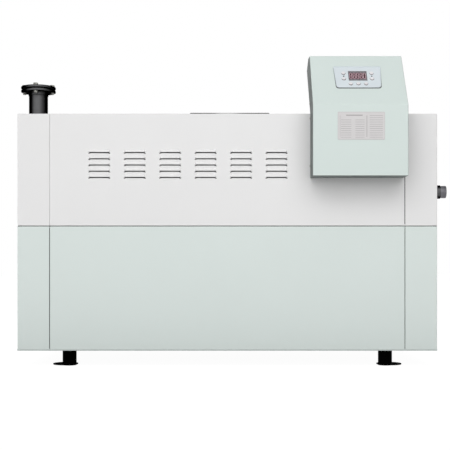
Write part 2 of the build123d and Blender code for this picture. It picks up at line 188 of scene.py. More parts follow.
def feed(tree, shader, **results):
    """Link each result to the shader's socket of that name."""
    for key, result in results.items():
        tree.links.new(result, shader.inputs[key.replace("_", " ")])


def turned_to(tree, axis, sign=None):
    """How far a face is turned to an axis: one way where a sign is given, or else either way."""
    normal = put(tree, "ShaderNodeNewGeometry").outputs["Normal"]
    share = put(tree, "ShaderNodeSeparateXYZ", {0: normal}).outputs[axis]
    if sign is None:
        return maths(tree, "ABSOLUTE", share)
    return maths(tree, "MULTIPLY", share, sign)


def relief(tree, shader, height, depth, strength=1.0):
    """Fine relief of the given depth in metres."""
    bump = put(tree, "ShaderNodeBump", {"Height": height, "Distance": depth, "Strength": strength})
    tree.links.new(bump.outputs[0], shader.inputs["Normal"])


# A face counts as turned to a side from the first share on, and in full from the second
TURNED = (0.6, 0.95)


def powder_coat(name, color, gloss=0.42, cheeks=1.0, underside=1.0):
    """Satin powder coat with orange peel and clouding, duller where turned away, and darker there
    as painted shade by the given shares.
    """
    material, tree, shader = new_finish(name)
    clouds = spread(tree, grain(tree, 2.2, 3.0), 0.0, 1.0)
    speckle = spread(tree, grain(tree, 420.0, 1.0), 0.0, 1.0)
    fine = tint(tree, speckle, shade(color, 0.985), shade(color, 1.012))
    cloudy = tint(tree, clouds, shade(color, 0.985), shade(color, 1.01))
    tone = tint(tree, 0.5, fine, cloudy)
    sideways = turned_to(tree, "X")
    downwards = turned_to(tree, "Z", -1.0)
    # Painted shade: faces turned to a side or downwards take a darker copy of the colour
    for away, share in ((sideways, cheeks), (downwards, underside)):
        if share < 1:
            tone = tint(tree, ramp(tree, away, *TURNED), tone, shade(color, share))
    if min(cheeks, underside) < 1:
        away = maths(tree, "MAXIMUM", sideways, downwards)
        feed(tree, shader, Specular_IOR_Level=ramp(tree, away, *TURNED, 0.5, 0.06))
    patches = spread(tree, grain(tree, 6.0, 4.0), gloss, gloss + 0.08)
    feed(tree, shader, Base_Color=tone, Roughness=patches)
    relief(tree, shader, grain(tree, 650.0, 1.5), 0.00004, 0.35)
    return material


def black_paint(name, reflectance, gloss):
    """Stoved black paint on turned steel: a soft gloss, with painted shade that darkens the colour
    towards the edges as seen.
    """
    material, tree, shader = new_finish(name, Metallic=1.0, Specular_Tint=(0.0, 0.0, 0.0))
    speckle = spread(tree, grain(tree, 300.0, 2.0), 0.0, 1.0)
    dark = tuple(reflectance * part for part in (0.97, 0.97, 1.0))
    # Painted shade: the colour fades to black where the surface turns away from the view
    facing = put(tree, "ShaderNodeLayerWeight", {"Blend": 0.5}).outputs["Facing"]
    painted_edge_shade = ramp(tree, facing, 0.10, 0.37, shape="SMOOTHSTEP")
    flecked = tint(tree, speckle, shade(dark, 0.94), shade(dark, 1.06))
    tone = tint(tree, painted_edge_shade, flecked, (0.0005, 0.0005, 0.0005))
    patches = spread(tree, grain(tree, 40.0, 3.0), gloss, gloss + 0.07)
    feed(tree, shader, Base_Color=tone, Roughness=patches)
    relief(tree, shader, grain(tree, 500.0, 2.0), 0.00006, 0.4)
    return material


def dull_coat(name, color, roughness, cells=350.0, depth=0.0002, specular=0.15):
    """A dull coat, elastomer or primer with an even fine tooth."""
    material, tree, shader = new_finish(name, Specular_IOR_Level=specular)
    speckle = spread(tree, grain(tree, cells, 3.0), 0.0, 1.0)
    tone = tint(tree, speckle, shade(color, 0.8), shade(color, 1.2))
    patches = spread(tree, grain(tree, 14.0, 3.0), roughness - 0.08, roughness + 0.05)
    feed(tree, shader, Base_Color=tone, Roughness=patches)
    relief(tree, shader, grain(tree, cells, 2.0), depth, 0.5)
    return material


def zinc(name, color, roughness):
    """Zinc-coated steel: a faint spangle and a satin surface."""
    material, tree, shader = new_finish(name, Metallic=1.0)
    where = put(tree, "ShaderNodeTexCoord").outputs["Object"]
    spangle = put(tree, "ShaderNodeTexVoronoi", {"Vector": where, "Scale": 240.0}).outputs["Color"]
    grey = put(tree, "ShaderNodeRGBToBW", {0: spangle}).outputs[0]
    tone = tint(tree, grey, shade(color, 0.86), shade(color, 1.12))
    patches = spread(tree, grain(tree, 60.0, 3.0), roughness, roughness + 0.12)
    feed(tree, shader, Base_Color=tone, Roughness=patches)
    relief(tree, shader, grain(tree, 900.0, 1.0), 0.00003, 0.4)
    return material


def brushed_sheet(name, color, roughness):
    """Stainless sheet brushed along its length, with a faint uneven lustre."""
    material, tree, shader = new_finish(name, Metallic=1.0)
    brushing = spread(tree, grain(tree, 30.0, 4.0, (1.0, 30.0, 30.0)), 0.0, 1.0)
    tone = tint(tree, brushing, shade(color, 0.88), shade(color, 1.08))
    patches = spread(tree, grain(tree, 9.0, 3.0), roughness, roughness + 0.1)
    feed(tree, shader, Base_Color=tone, Roughness=patches)
    relief(tree, shader, brushing, 0.00002, 0.4)
    return material


def flue_sheet(name, color, edge, painted_highlight, highlight_x, highlight_half_width):
    """Satin stainless sheet; its front is painted from dark ends, as painted shade, to a pale
    middle, as a painted highlight.
    """
    material, tree, shader = new_finish(name, Metallic=1.0)
    where = put(tree, "ShaderNodeTexCoord").outputs["Object"]
    along = put(tree, "ShaderNodeSeparateXYZ", {0: where}).outputs["X"]
    # Painted highlight in the middle of the front and painted shade at its ends
    off_middle = maths(tree, "ABSOLUTE", maths(tree, "SUBTRACT", along, highlight_x))
    middle = ramp(tree, off_middle, 0.0, highlight_half_width, 1.0, 0.0, "SMOOTHSTEP")
    front = ramp(tree, turned_to(tree, "Y", -1.0), 0.15, 0.5)
    speckle = spread(tree, grain(tree, 300.0, 3.0), 0.0, 1.0)
    plain = tint(tree, speckle, shade(color, 0.9), shade(color, 1.1))
    tone = tint(tree, front, plain, tint(tree, middle, edge, painted_highlight))
    feed(tree, shader, Base_Color=tone, Roughness=spread(tree, grain(tree, 14.0, 3.0), 0.45, 0.58))
    relief(tree, shader, grain(tree, 500.0, 2.0), 0.00005, 0.5)
    return material


def membrane(name, color):
    """Printed membrane foil: an even colour under a fine satin grain."""
    material, tree, shader = new_finish(name, Specular_IOR_Level=0.4)
    clouds = spread(tree, grain(tree, 18.0, 2.0), 0.0, 1.0)
    tone = tint(tree, clouds, shade(color, 0.985), shade(color, 1.015))
    feed(tree, shader, Base_Color=tone, Roughness=spread(tree, grain(tree, 90.0, 2.0), 0.34, 0.42))
    relief(tree, shader, grain(tree, 1500.0, 1.0), 0.00002, 0.3)
    return material


def smoked_acrylic(name, color, coat=0.3):
    """A smoked window with faint dust and smears."""
    sockets = {"Coat_Weight": coat, "Coat_Roughness": 0.12, "Specular_IOR_Level": 0.3}
    material, tree, shader = new_finish(name, **sockets)
    dust = spread(tree, grain(tree, 130.0, 5.0), 0.0, 1.0)
    smears = spread(tree, grain(tree, 25.0, 4.0), 0.18, 0.34)
    feed(tree, shader, Base_Color=tint(tree, dust, color, shade(color, 1.7)), Roughness=smears)
    return material


def lit_mark(name, color, glow):
    """A lit segment behind the smoked window, a little uneven."""
    material, tree, shader = new_finish(name, Roughness=0.5, Emission_Strength=glow)
    uneven = spread(tree, grain(tree, 260.0, 2.0), 0.0, 1.0)
    tone = tint(tree, uneven, shade(color, 0.85), color)
    feed(tree, shader, Base_Color=tone, Emission_Color=tone)
    return material


light_grey = powder_coat("light_grey_powder_coat", (0.760, 0.757, 0.757))
mint = powder_coat("mint_powder_coat", (0.656, 0.721, 0.698))
# A darker copy of the mint for the hem, as painted shade, darker still underneath
hem_painted_shade = powder_coat("mint_hem_painted_shade", (0.52, 0.575, 0.555), underside=0.4)
# The control box's coat is painted darker on its sides and underside as painted shade
box_mint = powder_coat(
    "control_box_powder_coat", (0.616, 0.693, 0.667), cheeks=0.27, underside=0.32
)
black_gloss = black_paint("stoved_black_paint", 0.092, 0.42)
leg_black = dull_coat("dull_black_leg_paint", (0.0012, 0.0012, 0.0012), 0.9, specular=0.02)
primer = dull_coat("dark_frame_primer", (0.035, 0.036, 0.038), 0.7)
# Black rubber, also used for dark marks that stand in for shade in seams and at the louvres' ends
rubber_and_painted_shade = dull_coat("black_rubber", (0.012, 0.012, 0.012), 0.85, 500.0, specular=0.06)
gasket_fibre = dull_coat("gasket_fibre", (0.03, 0.028, 0.027), 0.9, 900.0)
galvanised = zinc("galvanised_steel", (0.172, 0.168, 0.184), 0.42)
fastener_zinc = zinc("zinc_plated_fasteners", (0.40, 0.40, 0.37), 0.38)
# Flue base sheet with a painted highlight and painted shade on its front
flue_plate = flue_sheet(
    "satin_flue_sheet_painted_highlight", (0.42, 0.42, 0.43), edge=(0.035, 0.035, 0.036), painted_highlight=(0.48, 0.48, 0.48),
    highlight_x=place(flue_x - 12.0, 0, 0).x, highlight_half_width=0.13,
)
stainless = brushed_sheet("brushed_stainless", (0.40, 0.40, 0.41), 0.36)
fascia_foil = membrane("blue_grey_fascia_foil", (0.632, 0.690, 0.724))
key_plastic = membrane("pale_key_plastic", (0.74, 0.73, 0.75))
# Dark colour for the crescents under the keys, which are painted shadows
key_painted_shadow = dull_coat("key_painted_shadow_coat", (0.09, 0.062, 0.06), 0.6, 800.0, 0.00002)
window_acrylic = smoked_acrylic("smoked_window", (0.127, 0.119, 0.130))
digit_ground = smoked_acrylic("dark_digit_ground", (0.022, 0.003, 0.007), 0.0)
digit_glow = lit_mark("lit_digits", (0.42, 0.265, 0.305), 0.12)
led_lens = smoked_acrylic("dark_led_lens", (0.012, 0.010, 0.012), 0.0)
# Dark grey for the fascia's side wall and the strip around it: painted shade and painted shadow
fascia_side = dull_coat("fascia_side", (0.16, 0.17, 0.175), 0.55, 700.0, 0.00002)
label_foil = membrane("bare_label_foil", (0.616, 0.601, 0.603))
label_line = dull_coat("label_ruling", (0.33, 0.31, 0.315), 0.6, 800.0, 0.00001)

node_finishes = {
    light_grey: (
        "upper_front_panel", "upper_rear_panel", "upper_left_cap", "upper_right_cap", "top_panel",
    ),
    mint: ("lower_front_panel", "lower_rear_panel", "lower_left_cap", "lower_right_cap"),
    box_mint: ("control_box_body", "control_box_cover"),
    primer: (
        "base_beams", "base_cross_beams", "floor_pan", "lower_posts", "mid_long_rails",
        "mid_end_rails", "upper_posts", "top_long_rails", "top_cross_rails",
    ),
    black_gloss: (
        "supply_pipe", "supply_flange", "counter_flange", "return_pipe", "return_flange",
        "gas_socket",
    ),
    leg_black: (
        "leg_front_left", "leg_front_right", "leg_rear_left", "leg_rear_right", "foot_plates",
    ),
    rubber_and_painted_shade: ("foot_pads", "pipe_grommets"),
    gasket_fibre: ("supply_gasket",),
    galvanised: ("gas_nipple",),
    flue_plate: ("flue_base",),
    stainless: ("flue_socket",),
    fascia_foil: ("display_fascia",),
    window_acrylic: ("display_window",),
    key_plastic: ("display_buttons",),
    label_foil: ("label_plate",),
}
for material, names in node_finishes.items():
    for name in names:
        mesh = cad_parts[name].data
        mesh.materials.clear()
        mesh.materials.append(material)


# Pieces
def new_piece(name, mesh, material, smooth=None):
    """A finished piece with its mesh in place: shaded, given its finish, riding on the boiler."""
    piece = bpy.data.objects.new(name, mesh)
    bpy.context.scene.collection.objects.link(piece)
    mesh.materials.clear()
    mesh.materials.append(material)
    if smooth is not None:
        mesh.shade_smooth()
        mesh.set_sharp_from_angle(angle=radians(smooth))
    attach(piece, "root")


def turned(name, rings, steps=24):
    """A mesh turned about +Z: each ring is a radius and height, or gives them for an angle."""
    shape = bmesh.new()
    loops = []
    for ring in rings:
        loop = []
        for step in range(steps):
            angle = 2 * pi * step / steps
            radius, height = ring(angle) if callable(ring) else ring
            loop.append(shape.verts.new((radius * cos(angle), radius * sin(angle), height)))
        loops.append(loop)
    for lower, upper in zip(loops, loops[1:]):
        for step in range(steps):
            after = (step + 1) % steps
            shape.faces.new((lower[step], lower[after], upper[after], upper[step]))
    bmesh.ops.remove_doubles(shape, verts=shape.verts, dist=1e-7)
    bmesh.ops.dissolve_degenerate(shape, edges=shape.edges, dist=1e-7)
    bmesh.ops.recalc_face_normals(shape, faces=shape.faces)
    mesh = bpy.data.meshes.new(name)
    shape.to_mesh(mesh)
    shape.free()
    return mesh


def six_sides(across, height, bevel):
    """A ring that follows a hexagon, lowered at its corners where a turned bevel trims them."""
    flat = across / 2

    def ring(angle):
        corner = flat / cos((angle + pi / 6) % (pi / 3) - pi / 6)
        return corner, height - bevel * (corner - flat) * tan(radians(30))

    return ring


def hex_part(name, across, low, high, end=0.0, stud=0.0, washer=0.0):
    """A bevelled hexagon from low to high, with a washer under it and a stud end above it."""
    flat = across / 2
    rings = [(0.0, low - washer)]
    if washer:
        rings += [(flat * 1.17, low - washer), (flat * 1.22, low - washer * 0.8)]
        rings += [(flat * 1.22, low - washer * 0.2), (flat * 1.17, low), (flat * 0.95, low)]
    else:
        rings += [(flat * 0.9, low)]
    rings += [six_sides(across, low, -1), six_sides(across, high, 1), (flat * 0.92, high)]
    if stud:
        rings += [(stud, high), (stud, high + end * 0.6)]
        rings += [(stud * 0.8, high + end), (0.0, high + end)]
    else:
        rings += [(flat * 0.72, high), (flat * 0.66, high - flat * 0.08), (0.0, high - flat * 0.08)]
    return turned(name, rings, 36)


def pan_screw(name, radius, height):
    """A low domed screw head with a six-sided socket."""
    socket = radius * 0.8
    rings = [
        (0.0, 0.0),
        (radius * 0.96, 0.0),
        (radius, height * 0.2),
        (radius * 0.93, height * 0.55),
        (radius * 0.74, height * 0.85),
        (radius * 0.5, height),
        six_sides(socket, height * 0.98, 0),
        six_sides(socket * 0.92, height * 0.4, 0),
        (0.0, height * 0.36),
    ]
    return turned(name, rings, 24)


def rule_socket(tree, name, kind, default=None, output=False):
    """One named input or output of a geometry tree."""
    way = "OUTPUT" if output else "INPUT"
    socket = tree.interface.new_socket(name, in_out=way, socket_type=kind)
    if default is not None:
        socket.default_value = default


def geometry_tree(name, inputs):
    """A geometry tree with these named inputs, and what its group input gives."""
    tree = bpy.data.node_groups.new(name, "GeometryNodeTree")
    rule_socket(tree, "Geometry", "NodeSocketGeometry")
    for label, kind, default in inputs:
        rule_socket(tree, label, kind, default)
    rule_socket(tree, "Finish", "NodeSocketMaterial")
    rule_socket(tree, "Geometry", "NodeSocketGeometry", output=True)
    return tree, put(tree, "NodeGroupInput").outputs


def close_tree(tree, given, geometry):
    """Realize what a tree has made, give it its finish and hand it out."""
    solid = put(tree, "GeometryNodeRealizeInstances", {0: geometry}).outputs[0]
    inputs = {"Geometry": solid, "Material": given["Finish"]}
    done = put(tree, "GeometryNodeSetMaterial", inputs).outputs[0]
    put(tree, "NodeGroupOutput", {0: done})


def grow(name, tree, values, material, spots=(), smooth=None):
    """Run a tree on a mesh of points, keep its result as a plain mesh, and make that the piece."""
    seed_mesh = bpy.data.meshes.new(name)
    seed_mesh.from_pydata([tuple(spot) for spot in spots], [], [])
    carrier = bpy.data.objects.new(name + "_carrier", seed_mesh)
    bpy.context.scene.collection.objects.link(carrier)
    modifier = carrier.modifiers.new("grow", "NODES")
    modifier.node_group = tree
    for item in tree.interface.items_tree:
        if item.in_out == "INPUT" and item.name in values:
            modifier[item.identifier] = values[item.name]
        elif item.in_out == "INPUT" and item.name == "Finish":
            modifier[item.identifier] = material
    graph = bpy.context.evaluated_depsgraph_get()
    mesh = bpy.data.meshes.new_from_object(carrier.evaluated_get(graph))
    mesh.name = name
    carrier.modifiers.remove(modifier)
    bpy.data.objects.remove(carrier)
    new_piece(name, mesh, material, smooth)


def repeat_tree():
    """One pattern object set on every point, turned and sized alike."""
    inputs = [
        ("Pattern", "NodeSocketObject", None),
        ("Turn", "NodeSocketVector", (0.0, 0.0, 0.0)),
        ("Size", "NodeSocketFloat", 1.0),
    ]
    tree, given = geometry_tree("set_on_points", inputs)
    points = put(tree, "GeometryNodeMeshToPoints", {0: given["Geometry"]}).outputs[0]
    pattern = put(tree, "GeometryNodeObjectInfo", {"Object": given["Pattern"]}).outputs["Geometry"]
    turn = put(tree, "FunctionNodeEulerToRotation", {0: given["Turn"]}).outputs[0]
    size = put(tree, "ShaderNodeCombineXYZ", dict.fromkeys(range(3), given["Size"])).outputs[0]
    inputs = {"Points": points, "Instance": pattern, "Rotation": turn, "Scale": size}
    close_tree(tree, given, put(tree, "GeometryNodeInstanceOnPoints", inputs).outputs[0])
    return tree


def thread_tree():
    """A screw thread as one ridge wound along +X."""
    inputs = [
        ("Turns", "NodeSocketFloat", 8.0),
        ("Radius", "NodeSocketFloat", 0.038),
        ("Length", "NodeSocketFloat", 0.02),
        ("Ridge", "NodeSocketFloat", 0.001),
        ("Start", "NodeSocketVector", (0.0, 0.0, 0.0)),
    ]
    tree, given = geometry_tree("wound_thread", inputs)
    spiral = put(tree, "GeometryNodeCurveSpiral", {
        "Resolution": 40, "Rotations": given["Turns"], "Start Radius": given["Radius"],
        "End Radius": given["Radius"], "Height": given["Length"],
    }).outputs[0]
    inputs = {"Resolution": 4, "Radius": given["Ridge"]}
    ridge = put(tree, "GeometryNodeCurvePrimitiveCircle", inputs).outputs[0]
    inputs = {0: spiral, "Profile Curve": ridge, "Fill Caps": True}
    wound = put(tree, "GeometryNodeCurveToMesh", inputs).outputs[0]
    turn = (0.0, pi / 2, 0.0)
    inputs = {"Geometry": wound, "Translation": given["Start"], "Rotation": turn}
    close_tree(tree, given, put(tree, "GeometryNodeTransform", inputs).outputs[0])
    return tree


def bar_tree():
    """Thin flat bars of one size on every point, for ruled lines."""
    tree, given = geometry_tree("ruled_bars", [("Bar", "NodeSocketVector", (0.1, 0.0002, 0.001))])
    points = put(tree, "GeometryNodeMeshToPoints", {0: given["Geometry"]}).outputs[0]
    bar = put(tree, "GeometryNodeMeshCube", {"Size": given["Bar"]}).outputs[0]
    inputs = {"Points": points, "Instance": bar}
    close_tree(tree, given, put(tree, "GeometryNodeInstanceOnPoints", inputs).outputs[0])
    return tree


set_on_points = repeat_tree()
wound_thread = thread_tree()
ruled_bars = bar_tree()


def fittings(name, pattern_mesh, spots, turn, material, size=1.0, smooth=35):
    """The same small fitting on every spot."""
    pattern = bpy.data.objects.new(name + "_pattern", pattern_mesh)
    bpy.context.scene.collection.objects.link(pattern)
    values = {"Pattern": pattern, "Turn": turn, "Size": size}
    grow(name, set_on_points, values, material, spots, smooth)
    bpy.data.objects.remove(pattern)


def ring_spots(x, y, z, radius, count):
    """Spots on a level circle, the first to the right of its middle."""
    turns = [2 * pi * step / count for step in range(count)]
    return [place(x + radius * cos(turn), y + radius * sin(turn), z) for turn in turns]


UP = (0.0, 0.0, 0.0)
BACKWARD = (-pi / 2, 0.0, 0.0)
LEFT = (0.0, -pi / 2, 0.0)
RIGHT = (0.0, pi / 2, 0.0)
DOWN = (pi, 0.0, 0.0)

# Bolts of the supply flanges: heads below, washers and nuts above
washer = 0.0025
nut = hex_part("nut", 0.027, washer, 0.0115, end=0.0015, stud=0.008, washer=washer)
nut_spots = ring_spots(supply_x, supply_y, supply_flange_high, flange_pitch_radius, 4)
fittings("supply_nuts", nut, nut_spots, UP, fastener_zinc)
head = hex_part("bolt_head", 0.019, washer, 0.012, washer=washer)
head_spots = ring_spots(supply_x, supply_y, supply_flange_low, flange_pitch_radius, 4)
fittings("supply_bolt_heads", head, head_spots, DOWN, fastener_zinc)

# Screws of the control box's cheeks, the casing's ends and back, and the flue base
small_screw = pan_screw("small_screw", 0.0052, 0.0026)
cheek_screws = ((-12.0, 1194.0), (-12.0, 1479.0), (16.0, 1570.0))
end_heights = (120.0, 468.0, 814.0, 864.0, 1174.0, 1480.0)
end_screws = [(y, z) for z in end_heights for y in (40.0, 625.0, 1210.0)]
for side, side_name, turn in ((-1, "left", LEFT), (1, "right", RIGHT)):
    spots = [place(box_x + side * box_width / 2, y, z) for y, z in cheek_screws]
    cheek_name = f"control_box_{side_name}_screws"
    fittings(cheek_name, small_screw, spots, turn, fastener_zinc, 1.5)
    spots = [place(side * casing_width / 2, y, z) for y, z in end_screws]
    fittings(f"{side_name}_end_screws", small_screw, spots, turn, fastener_zinc, 1.3)
rear_heights = (120.0, 814.0, 864.0, 1480.0)
rear_screws = [(x, z) for z in rear_heights for x in (-1225.0, -1084.0, -1030.0, -520.0, 0.0)]
rear_spots = [place(x, casing_depth, z) for x, z in rear_screws]
rear_spots += [place(-x, casing_depth, z) for x, z in rear_screws if x]
fittings("rear_screws", small_screw, rear_spots, BACKWARD, fastener_zinc, 1.3)
flue_edge = flue_base_side / 2 - 24.0
flue_spots = [
    place(flue_x + x, flue_y + y, flue_base_top)
    for x in (-flue_edge, 0.0, flue_edge) for y in (-flue_edge, 0.0, flue_edge) if x or y
]
fittings("flue_base_screws", small_screw, flue_spots, UP, fastener_zinc, 1.2)

# Thread on the gas nipple
thread_turns = 11.0
thread_length = 26.0
thread_depth = 0.35
thread_lead_in = 1.5
nipple_end = casing_width / 2 + gas_reach
thread_start = place(nipple_end - thread_length - thread_lead_in, gas_y, gas_z)
values = {
    "Turns": thread_turns, "Radius": (gas_pipe_radius - thread_depth) * MM,
    "Length": thread_length * MM, "Ridge": 0.00095, "Start": tuple(thread_start),
}
grow("gas_thread", wound_thread, values, galvanised)


# Display
def flat_prism(name, outline, low, high, surface):
    """A flat piece: its outline in millimetres on a surface, between two heights above it."""
    shape = bmesh.new()
    below = [shape.verts.new(surface(x, y, low)) for x, y in outline]
    above = [shape.verts.new(surface(x, y, high)) for x, y in outline]
    shape.faces.new(below)
    shape.faces.new(above)
    for step in range(len(outline)):
        after = (step + 1) % len(outline)
        shape.faces.new((below[step], below[after], above[after], above[step]))
    bmesh.ops.recalc_face_normals(shape, faces=shape.faces)
    mesh = bpy.data.meshes.new(name)
    shape.to_mesh(mesh)
    shape.free()
    return mesh


def joined(name, meshes):
    """Several meshes as one."""
    shape = bmesh.new()
    for mesh in meshes:
        shape.from_mesh(mesh)
    whole = bpy.data.meshes.new(name)
    shape.to_mesh(whole)
    shape.free()
    return whole


def band(name, outline, profile, surface):
    """A closed band along an outline: its profile is how far outside the outline and how high."""
    shape = bmesh.new()
    loops = []
    count = len(outline)
    for step, (x, y) in enumerate(outline):
        before, after = outline[step - 1], outline[(step + 1) % count]
        along = Vector((after[0] - before[0], after[1] - before[1])).normalized()
        outward = Vector((along.y, -along.x))
        spots = [surface(x + outward.x * out, y + outward.y * out, up) for out, up in profile]
        loops.append([shape.verts.new(spot) for spot in spots])
    for step, loop in enumerate(loops):
        following = loops[(step + 1) % count]
        for turn in range(len(profile)):
            beside = (turn + 1) % len(profile)
            shape.faces.new((loop[turn], loop[beside], following[beside], following[turn]))
    bmesh.ops.recalc_face_normals(shape, faces=shape.faces)
    mesh = bpy.data.meshes.new(name)
    shape.to_mesh(mesh)
    shape.free()
    return mesh


def rounded(corner, radius, from_turn, to_turn, steps=8):
    """Points of an arc inside a corner whose sides meet at its middle, turned in degrees."""
    turns = [radians(from_turn + (to_turn - from_turn) * step / steps) for step in range(steps + 1)]
    return [(corner[0] + radius * cos(turn), corner[1] + radius * sin(turn)) for turn in turns]


# Raised edge of the fascia: a pale rim over a side wall painted dark as painted shade, and a dark
# strip beside and below it as painted shadow
fascia_height = fascia_high - fascia_low
fascia_top_corner = 4.0
rim_drop = 2.6
shadow_drop = 6.8
shadow_growth = (1.004, 0.026)
lean = (fascia_high_width - fascia_low_width) / 2 / fascia_height
lean_turn = atan2(lean, 1) * 180 / pi
corner_middle = fascia_low_width / 2 - fascia_corner * (sqrt(1 + lean * lean) - lean)
low_corner = (corner_middle, fascia_low + fascia_corner)
high_corner = (fascia_high_width / 2 - fascia_top_corner, fascia_high - fascia_top_corner)
fascia_outline = rounded(low_corner, fascia_corner, -90, -lean_turn)
fascia_outline += rounded(high_corner, fascia_top_corner, -lean_turn, 90)
fascia_outline += [(-x, y) for x, y in reversed(fascia_outline)]


def on_rim(x, up, proud):
    """A point on the fascia's rim, which sits a little lower at its lower edge."""
    return on_slope(x, up - rim_drop * (fascia_high - up) / fascia_height, proud)


def on_painted_shadow(x, up, proud):
    """A point on the painted shadow under the rim, a dark strip that stands out a little below it
    and beside it.
    """
    growth = shadow_growth[0] + shadow_growth[1] * (fascia_high - up) / fascia_height
    return on_slope(x * growth, up - shadow_drop, proud)


side_profile = [(-1.0, -0.5), (0.3, -0.5), (0.3, 4.0), (-1.0, 4.0)]
rim_profile = [
    (-3.2, 1.0), (0.6, 3.9), (0.6, 4.4), (0.0, 4.9), (-2.6, 4.9), (-3.4, 4.2), (-3.8, 1.0),
]
painted_shadow_profile = [(-5.5, -0.4), (0.3, -0.4), (0.3, 0.7), (-5.5, 0.9)]
for name, profile, surface, material in (
    ("fascia_side", side_profile, on_rim, fascia_side),
    ("fascia_rim", rim_profile, on_rim, fascia_foil),
    ("fascia_skirt", painted_shadow_profile, on_painted_shadow, fascia_side),
):
    new_piece(name, band(name, fascia_outline, profile, surface), material)

# Figures behind the window
segment_ends = {
    "a": ((0, 2), (1, 2)), "b": ((1, 2), (1, 1)), "c": ((1, 1), (1, 0)), "d": ((0, 0), (1, 0)),
    "e": ((0, 1), (0, 0)), "f": ((0, 2), (0, 1)), "g": ((0, 1), (1, 1)),
}
lit_segments = {"0": "abcdef", "8": "abcdefg"}


def digit(figure, left, low, width, height, stroke):
    """The lit strokes of one figure on the display window."""
    strokes = []
    for letter in lit_segments[figure]:
        ends = [(left + u * width, low + v * height / 2) for u, v in segment_ends[letter]]
        (ax, ay), (bx, by) = ends
        run = sqrt((bx - ax) ** 2 + (by - ay) ** 2)
        ux, uy = (bx - ax) / run, (by - ay) / run
        gap, half = stroke * 0.15, stroke / 2
        outline = [
            (ax + ux * gap, ay + uy * gap),
            (ax + ux * (gap + half) - uy * half, ay + uy * (gap + half) + ux * half),
            (bx - ux * (gap + half) - uy * half, by - uy * (gap + half) + ux * half),
            (bx - ux * gap, by - uy * gap),
            (bx - ux * (gap + half) + uy * half, by - uy * (gap + half) - ux * half),
            (ax + ux * (gap + half) + uy * half, ay + uy * (gap + half) - ux * half),
        ]
        low_face, high_face = window_face + 0.1, window_face + 0.3
        strokes.append(flat_prism("stroke", outline, low_face, high_face, on_slope))
    return strokes


digit_low = window_low + 15.0
digit_height = 46.0
digit_width = 12.0
digit_pitch = 20.3
digit_stroke = 4.6
ground_margin = 3.5
first_digit = -47.0
grounds = []
strokes = []
for place_in_row, figure in enumerate("88880"):
    left = first_digit + place_in_row * digit_pitch
    strokes += digit(figure, left, digit_low, digit_width, digit_height, digit_stroke)
    margin = 0.0 if figure == "0" else ground_margin
    x_low, x_high = left - margin, left + digit_width + margin
    up_low, up_high = digit_low - margin, digit_low + digit_height + margin
    ground = [(x_low, up_low), (x_high, up_low), (x_high, up_high), (x_low, up_high)]
    grounds.append(flat_prism("ground", ground, window_face - 0.2, window_face + 0.05, on_slope))
ground_mesh = joined("display_digit_ground", grounds)
new_piece("display_digit_ground", ground_mesh, digit_ground)
new_piece("display_digits", joined("display_digits", strokes), digit_glow)

# Painted shadows under the keys, as dark crescents below them, and two small lamps between them
side_keys = [(x, up) for x in (-side_key_x, side_key_x) for up in side_key_heights]
row_keys = [(x, row_key_height) for x in (-row_key_pitch, 0.0, row_key_pitch)]
crescent_steps = 14
lower_side = [pi + pi * step / crescent_steps for step in range(crescent_steps + 1)]
key_radius = 11.0
inner_x, inner_y = key_radius * 0.98, key_radius * 0.95
outer_x, outer_y = key_radius * 1.16, key_radius * 1.4
crescent_outline = [(inner_x * cos(turn), inner_y * sin(turn)) for turn in lower_side]
crescent_outline += [(outer_x * cos(turn), outer_y * sin(turn)) for turn in reversed(lower_side)]


def lying(x, y, up):
    """A point of a pattern that lies flat, its outline in millimetres and its height in metres."""
    return x * MM, y * MM, up


def standing(x, z, out):
    """A point of a pattern that stands facing the front, how far out in metres."""
    return x * MM, -out, z * MM


crescent = flat_prism("crescent", crescent_outline, 0.0, 0.0002, lying)
ON_SLOPE = (slope_angle, 0.0, 0.0)
key_spots = [on_slope(x, up, fascia_face) for x, up in side_keys + row_keys]
fittings("key_crescents", crescent, key_spots, ON_SLOPE, key_painted_shadow)
lens_rings = [
    (0.0, -0.0005), (0.0042, -0.0005), (0.0042, 0.0008), (0.003, 0.0018), (0.0, 0.0023),
]
lamp_lens = turned("lamp_lens", lens_rings, 16)
lamp_drop = 4.0
lamp_height = sum(side_key_heights) / 2 - lamp_drop
lamp_spots = [on_slope(x, lamp_height, fascia_face) for x in (-side_key_x, side_key_x)]
fittings("fascia_lamps", lamp_lens, lamp_spots, ON_SLOPE, led_lens)

# Ruling of the bare label: three blocks of lines under a short heading, and two upright lines
line_pitch = 12.5
first_line = label_low + 14.0
ruling_face = label_face + 0.05
columns = ((-88.0, 60.0, 9), (-8.0, 52.0, 9), (86.0, 76.0, 11))
for number, (middle, width, count) in enumerate(columns, 1):
    heights = [first_line + line_pitch * row for row in range(count)]
    spots = [on_label(label_x + middle, height, ruling_face) for height in heights]
    values = {"Bar": (width * MM, 0.0003, 0.0018)}
    grow(f"label_rules_{number}", ruled_bars, values, label_line, spots)
upright_middle = (label_low + label_high) / 2 - 3.0
for number, (middle, width) in enumerate(((32.0, 2.6), (-122.5, 1.2)), 1):
    spots = [on_label(label_x + middle, upright_middle, ruling_face)]
    values = {"Bar": (width * MM, 0.0003, 0.125)}
    grow(f"label_column_{number}", ruled_bars, values, label_line, spots)
heading = [on_label(label_x - 40.0, label_high - 20.0, ruling_face)]
values = {"Bar": (0.095, 0.0003, 0.005)}
grow("label_heading", ruled_bars, values, label_line, heading)
border_inset = 2.5
border_width = 0.9
border_left, border_right = (label_x + side * (label_width / 2 - border_inset) for side in (-1, 1))
border_low, border_high = label_low + border_inset, label_high - border_inset
border = [(border_left, border_low), (border_right, border_low)]
border += [(border_right, border_high), (border_left, border_high)]
border_under, border_face = label_face - 0.1, label_face + 0.2
border_profile = [(0.0, border_under), (border_width, border_under)]
border_profile += [(border_width, border_face), (0.0, border_face)]
